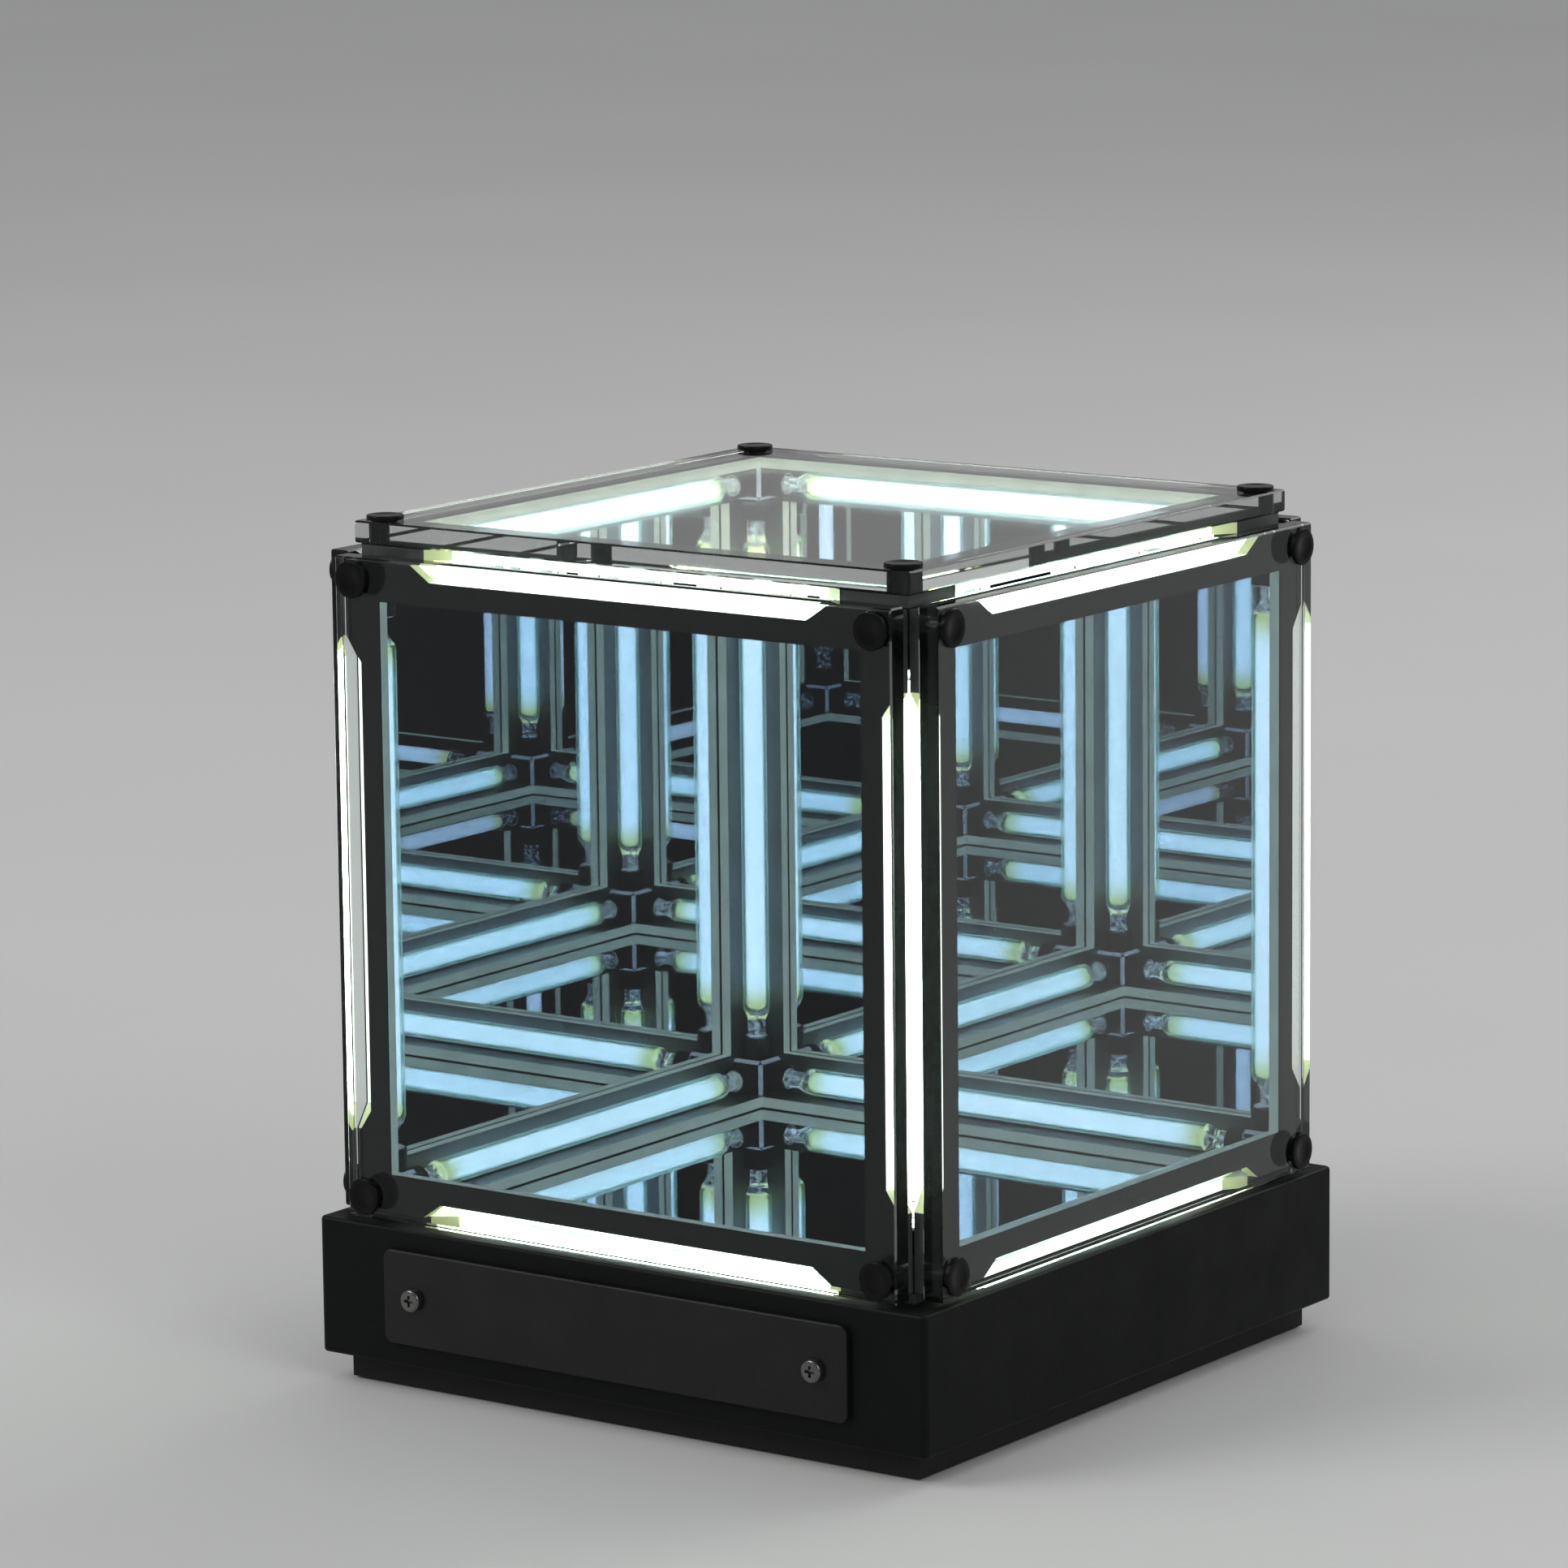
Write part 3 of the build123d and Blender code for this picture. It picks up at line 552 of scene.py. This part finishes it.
# ------------------------------------------------------------------ lamps
def lamp_frames():
    """Name and local frame of each edge lamp: z along it, y away from the cube's centre."""
    frames = {}
    for level, z_sign in (("top", 1), ("bottom", -1)):
        for depth, y_sign in (("front", -1), ("back", 1)):
            frames[f"{level}_{depth}"] = (Vector((1, 0, 0)), Vector((0, y_sign, z_sign)))
        for hand, x_sign in (("left", -1), ("right", 1)):
            frames[f"{level}_{hand}"] = (Vector((0, 1, 0)), Vector((x_sign, 0, z_sign)))
    for depth, y_sign in (("front", -1), ("back", 1)):
        for hand, x_sign in (("left", -1), ("right", 1)):
            frames[f"{depth}_{hand}"] = (Vector((0, 0, 1)), Vector((x_sign, y_sign, 0)))
    made = {}
    for name, (along, outward) in frames.items():
        over = outward.normalized()
        across = over.cross(along)
        rotation = Matrix((across, over, along)).transposed().to_4x4()
        made[name] = Matrix.Translation(cube_center + outward * lamp_reach) @ rotation
    return made


lamps = lamp_frames()
round_segments = 48
tube_wall = 0.75 * MM
round_end = 53.2 * MM          # where the round tube starts to draw in
pinch_start = 57.2 * MM
seal_start = 54.0 * MM         # from here the glass is solid and bends the light
pinch_half_width = 2.1 * MM
pinch_half_thickness = 0.9 * MM
pinch_squareness = 5.0         # 2 is round
core_half_length = 53.7 * MM
core_radius = 2.25 * MM
core_end_round = 1.0 * MM
core_end_gap = 0.6 * MM
bore_dome = 2.2 * MM           # length of the bore's rounded end
foil_half_width = 0.8 * MM
foil_thickness = 0.06 * MM
wire_radius = 0.22 * MM
wire_segments = 12
cap_segments = 40


def mirrored(half_stations):
    """A whole lamp's stations from those of one half, which starts at the lamp's middle."""
    return [(-a, w, t, s) for a, w, t, s in reversed(half_stations[1:])] + half_stations


def shoulder(radius):
    """Stations that draw a round tube in to its flat pinch."""
    start, end = round_end, pinch_start
    steps = 8
    stations = []
    for step in range(steps + 1):
        share = step / steps
        ease = share * share * (3 - 2 * share)
        width = radius + (pinch_half_width - radius) * ease
        thickness = radius + (pinch_half_thickness - radius) * ease
        stations.append((start + (end - start) * share, width, thickness, 2 + (pinch_squareness - 2) * ease))
    return stations


def make_lamp_glass(name, axis_frame):
    """Glass tube with drawn-in shoulders and flat, square-edged pinches, and its bore."""
    bm = bmesh.new()
    edge = 0.25 * MM
    half = [(0.0, tube_radius, tube_radius, 2.0)]
    half += shoulder(tube_radius)
    for back, inset in ((edge, 0.0), (edge / 3, edge / 3), (0.0, edge)):
        half.append((pinch_end - back, pinch_half_width - inset, pinch_half_thickness - inset, pinch_squareness))
    ring_lathe(bm, axis_frame, mirrored(half), round_segments)
    bore = bmesh.new()
    bore_radius = tube_radius - tube_wall
    bore_half = [(0.0, bore_radius, bore_radius, 2.0)]
    bore_end = core_half_length + core_end_gap
    for degrees in range(0, 91, 15):
        angle = math.radians(degrees)
        radius = bore_radius * max(math.cos(angle), 0.06)
        bore_half.append((bore_end - bore_dome * (1 - math.sin(angle)), radius, radius, 2.0))
    ring_lathe(bore, axis_frame, mirrored(bore_half), round_segments)
    outer_mesh = finished_mesh(bm, f"lamp_glass_{name}")
    bore_mesh = finished_mesh(bore, "bore")
    bore_mesh.flip_normals()
    joined = bmesh.new()
    joined.from_mesh(outer_mesh)
    joined.from_mesh(bore_mesh)
    bpy.data.meshes.remove(bore_mesh)
    joined.to_mesh(outer_mesh)
    joined.free()
    outer_mesh.materials.append(finishes["lamp_glass"])
    outer_mesh.materials.append(seal_glass_painted_glints)
    to_local = axis_frame.inverted()
    for polygon in outer_mesh.polygons:
        polygon.material_index = int(abs((to_local @ polygon.center).z) > seal_start)
    piece(f"lamp_glass_{name}", outer_mesh, None, [f"lamp_tube_{name}"])


for name, axis_frame in lamps.items():
    make_lamp_glass(name, axis_frame)


def make_cores():
    """Glowing rods with rounded ends. The attribute runs from 0 at a lamp's middle to 1 at its ends."""
    bm = bmesh.new()
    layer = bm.verts.layers.float.new("along")
    half = [(core_half_length * step / 10, core_radius, core_radius, 2.0) for step in range(9)]
    for degrees in range(0, 91, 18):
        angle = math.radians(degrees)
        radius = core_radius - core_end_round * (1 - math.cos(angle))
        half.append((core_half_length - core_end_round * (1 - math.sin(angle)), radius, radius, 2.0))
    for axis_frame in lamps.values():
        ring_lathe(bm, axis_frame, mirrored(half), round_segments, layer)
    for vertex in bm.verts:
        vertex[layer] = vertex[layer] / core_half_length
    piece("lamp_cores", finished_mesh(bm, "lamp_cores"), finishes["lamp_light"], ["lamp_rods"])


def make_seals():
    """In each pinch: a thin foil between two short wires, one of them from the core."""
    bm = bmesh.new()
    foil_start = pinch_start - 0.2 * MM
    foil_end = pinch_end - 1.2 * MM
    taper = 0.5 * MM
    overlap = 0.4 * MM             # of a wire and the foil
    flat = 6.0                     # squareness
    wires = [(core_half_length - core_end_round, foil_start + overlap), (foil_end - overlap, pinch_end)]
    for axis_frame in lamps.values():
        for facing in (0.0, math.pi):
            local = axis_frame @ Matrix.Rotation(facing, 4, "Y")
            foil = [
                (foil_start, foil_half_width * 0.4, foil_thickness / 2, flat),
                (foil_start + taper, foil_half_width, foil_thickness / 2, flat),
                (foil_end - taper, foil_half_width, foil_thickness / 2, flat),
                (foil_end, foil_half_width * 0.4, foil_thickness / 2, flat),
            ]
            ring_lathe(bm, local, foil, wire_segments)
            for start, end in wires:
                wire = [(start, wire_radius), ((start + end) / 2, wire_radius * 1.15), (end, wire_radius)]
                ring_lathe(bm, local, round_stations(wire), wire_segments)
    piece("lamp_seals", finished_mesh(bm, "lamp_seals"), finishes["cap_metal"])


make_cores()
make_seals()


def make_caps():
    """Bright metal cups on the lamps' ends, with a rolled lip, a groove and a recess that takes the pinch."""
    bm = bmesh.new()
    cap_start = 60.3 * MM
    cap_end = 64.3 * MM
    cap_radius = 2.6 * MM
    lip = 0.18 * MM
    inside = cap_radius - 0.35 * MM
    groove = 0.12 * MM
    profile = [
        (cap_start + 0.6 * MM, axis_gap),
        (cap_start + 0.6 * MM, inside - 0.1 * MM),
        (cap_start + 0.35 * MM, inside),
        (cap_start + 0.05 * MM, inside + 0.02 * MM),
        (cap_start, cap_radius - lip),
        (cap_start + lip / 2, cap_radius - lip / 6),
        (cap_start + lip, cap_radius),
        (cap_start + 0.9 * MM, cap_radius),
        (cap_start + 1.0 * MM, cap_radius - groove),
        (cap_start + 1.2 * MM, cap_radius - groove),
        (cap_start + 1.3 * MM, cap_radius),
        (cap_end - 0.4 * MM, cap_radius),
        (cap_end, cap_radius - 0.4 * MM),
    ]
    for axis_frame in lamps.values():
        for facing in (0.0, math.pi):
            ring_lathe(bm, axis_frame @ Matrix.Rotation(facing, 4, "Y"), round_stations(profile), cap_segments)
    mesh = finished_mesh(bm, "lamp_caps", math.radians(50))
    mesh.materials.append(finishes["cap_metal"])
    mesh.materials.append(cap_lip_painted_highlight)
    # the faces at the lip get the painted highlight
    lip_reach = 0.12 * MM
    for polygon in mesh.polygons:
        from_lip = min(abs(abs(v) - cap_start) for v in polygon.center - cube_center)
        polygon.material_index = int(from_lip < lip_reach)
    piece("lamp_caps", mesh, None, ["lamp_end_caps"])


make_caps()

# ------------------------------------------------------------------ posts
stem_radius = 2.6 * MM
tail_radius = 1.45 * MM
head_radius = 4.2 * MM
head_height = 1.1 * MM
tail_length = 2.45 * MM


def panel_frame(outward, distance):
    """Frame on a panel's axis, z outwards."""
    across = Vector((outward.y, outward.z, outward.x))
    over = outward.cross(across)
    rotation = Matrix((across, over, outward)).transposed().to_4x4()
    return Matrix.Translation(cube_center + outward * distance) @ rotation


def make_posts(name, outward_directions, seat, replaced):
    """Round posts through the panels' corners: a tail for the hub's thread, a stem, a thin head with a soft rim."""
    bm = bmesh.new()
    rim = 0.32 * MM
    neck = seat - 0.01 * MM
    dish = 0.05 * MM
    profile = [
        (-tail_length, axis_gap),
        (-tail_length, tail_radius - 0.2 * MM),
        (-tail_length + 0.2 * MM, tail_radius),
        (0.02 * MM, tail_radius),
        (0.02 * MM, stem_radius - 0.15 * MM),
        (0.17 * MM, stem_radius),
        (neck, stem_radius),
        (neck + 0.02 * MM, head_radius - 0.12 * MM),
        (neck + 0.14 * MM, head_radius),
        (seat + head_height - rim, head_radius),
        (seat + head_height - rim * 0.62, head_radius - rim * 0.08),
        (seat + head_height - rim * 0.29, head_radius - rim * 0.29),
        (seat + head_height - rim * 0.08, head_radius - rim * 0.62),
        (seat + head_height, head_radius - rim),
        (seat + head_height, head_radius * 0.55),
        (seat + head_height - dish, head_radius * 0.52),
        (seat + head_height - dish, axis_gap),
    ]
    for outward in outward_directions:
        middle = panel_frame(outward, hub_face)
        for across in (-lamp_reach, lamp_reach):
            for over in (-lamp_reach, lamp_reach):
                axis_frame = middle @ Matrix.Translation((across, over, 0))
                ring_lathe(bm, axis_frame, round_stations(profile), round_segments)
    piece(name, finished_mesh(bm, name, math.radians(35)), finishes["post_black"], replaced)


short_seat = glass_outer - hub_face
long_seat = (cube_center.z - hub_face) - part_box("base_posts")[0].z - head_height
make_posts("corner_posts", [v for k, v in sides.items() if k != "bottom"], short_seat, ["panel_posts"])
make_posts("cube_fixings", [sides["bottom"]], long_seat, ["base_posts"])


# ------------------------------------------------------------------ studio
floor_radius = 12.0
lit_strength = 0.62            # of the surroundings' light on the object
seen_grey = 0.3                # of the surroundings where they are seen


def make_floor():
    """Plain pale floor."""
    bm = bmesh.new()
    bmesh.ops.create_circle(bm, cap_ends=True, radius=floor_radius, segments=96)
    floor = bpy.data.objects.new("floor", finished_mesh(bm, "floor"))
    bpy.context.scene.collection.objects.link(floor)
    floor.data.materials.append(
        solid_material("floor_pale", (0.475, 0.475, 0.465), (0.485, 0.485, 0.475), (0.55, 0.6), patches=3.0))


def softbox(name, place, size, power):
    """Square soft light aimed at the cube."""
    data = bpy.data.lights.new(name, "AREA")
    data.shape = "SQUARE"
    data.size = size
    data.energy = power
    light = bpy.data.objects.new(name, data)
    bpy.context.scene.collection.objects.link(light)
    light.location = Vector(place)
    light.rotation_mode = "QUATERNION"
    light.rotation_quaternion = (cube_center - light.location).to_track_quat("-Z", "Y")


def make_world():
    """Even grey surroundings, which the camera, gloss and glass see a little darker than they light."""
    world = bpy.data.worlds.new("studio")
    bpy.context.scene.world = world
    world.use_nodes = True
    tree = world.node_tree
    tree.nodes.clear()
    output = tree.nodes.new("ShaderNodeOutputWorld")
    lit = tree.nodes.new("ShaderNodeBackground")
    lit.inputs["Color"].default_value = (0.97, 0.98, 1.0, 1)
    lit.inputs["Strength"].default_value = lit_strength
    seen = tree.nodes.new("ShaderNodeBackground")
    seen.inputs["Color"].default_value = (*grey(seen_grey), 1)
    mixer = tree.nodes.new("ShaderNodeMixShader")
    path = tree.nodes.new("ShaderNodeLightPath")
    camera_or_gloss = tree.nodes.new("ShaderNodeMath")
    camera_or_gloss.operation = "MAXIMUM"
    any_view = tree.nodes.new("ShaderNodeMath")
    any_view.operation = "MAXIMUM"
    tree.links.new(path.outputs["Is Camera Ray"], camera_or_gloss.inputs[0])
    tree.links.new(path.outputs["Is Glossy Ray"], camera_or_gloss.inputs[1])
    tree.links.new(camera_or_gloss.outputs["Value"], any_view.inputs[0])
    tree.links.new(path.outputs["Is Transmission Ray"], any_view.inputs[1])
    tree.links.new(any_view.outputs["Value"], mixer.inputs["Fac"])
    tree.links.new(lit.outputs["Background"], mixer.inputs[1])
    tree.links.new(seen.outputs["Background"], mixer.inputs[2])
    tree.links.new(mixer.outputs["Shader"], output.inputs["Surface"])


make_floor()
make_world()
softbox("key", (-1.4, -1.7, 1.9), 1.3, 32)
softbox("fill", (1.9, -0.6, 1.3), 1.2, 12)
softbox("rim", (0.4, 1.9, 1.7), 1.4, 18)

bpy.context.scene.view_settings.view_transform = "Standard"
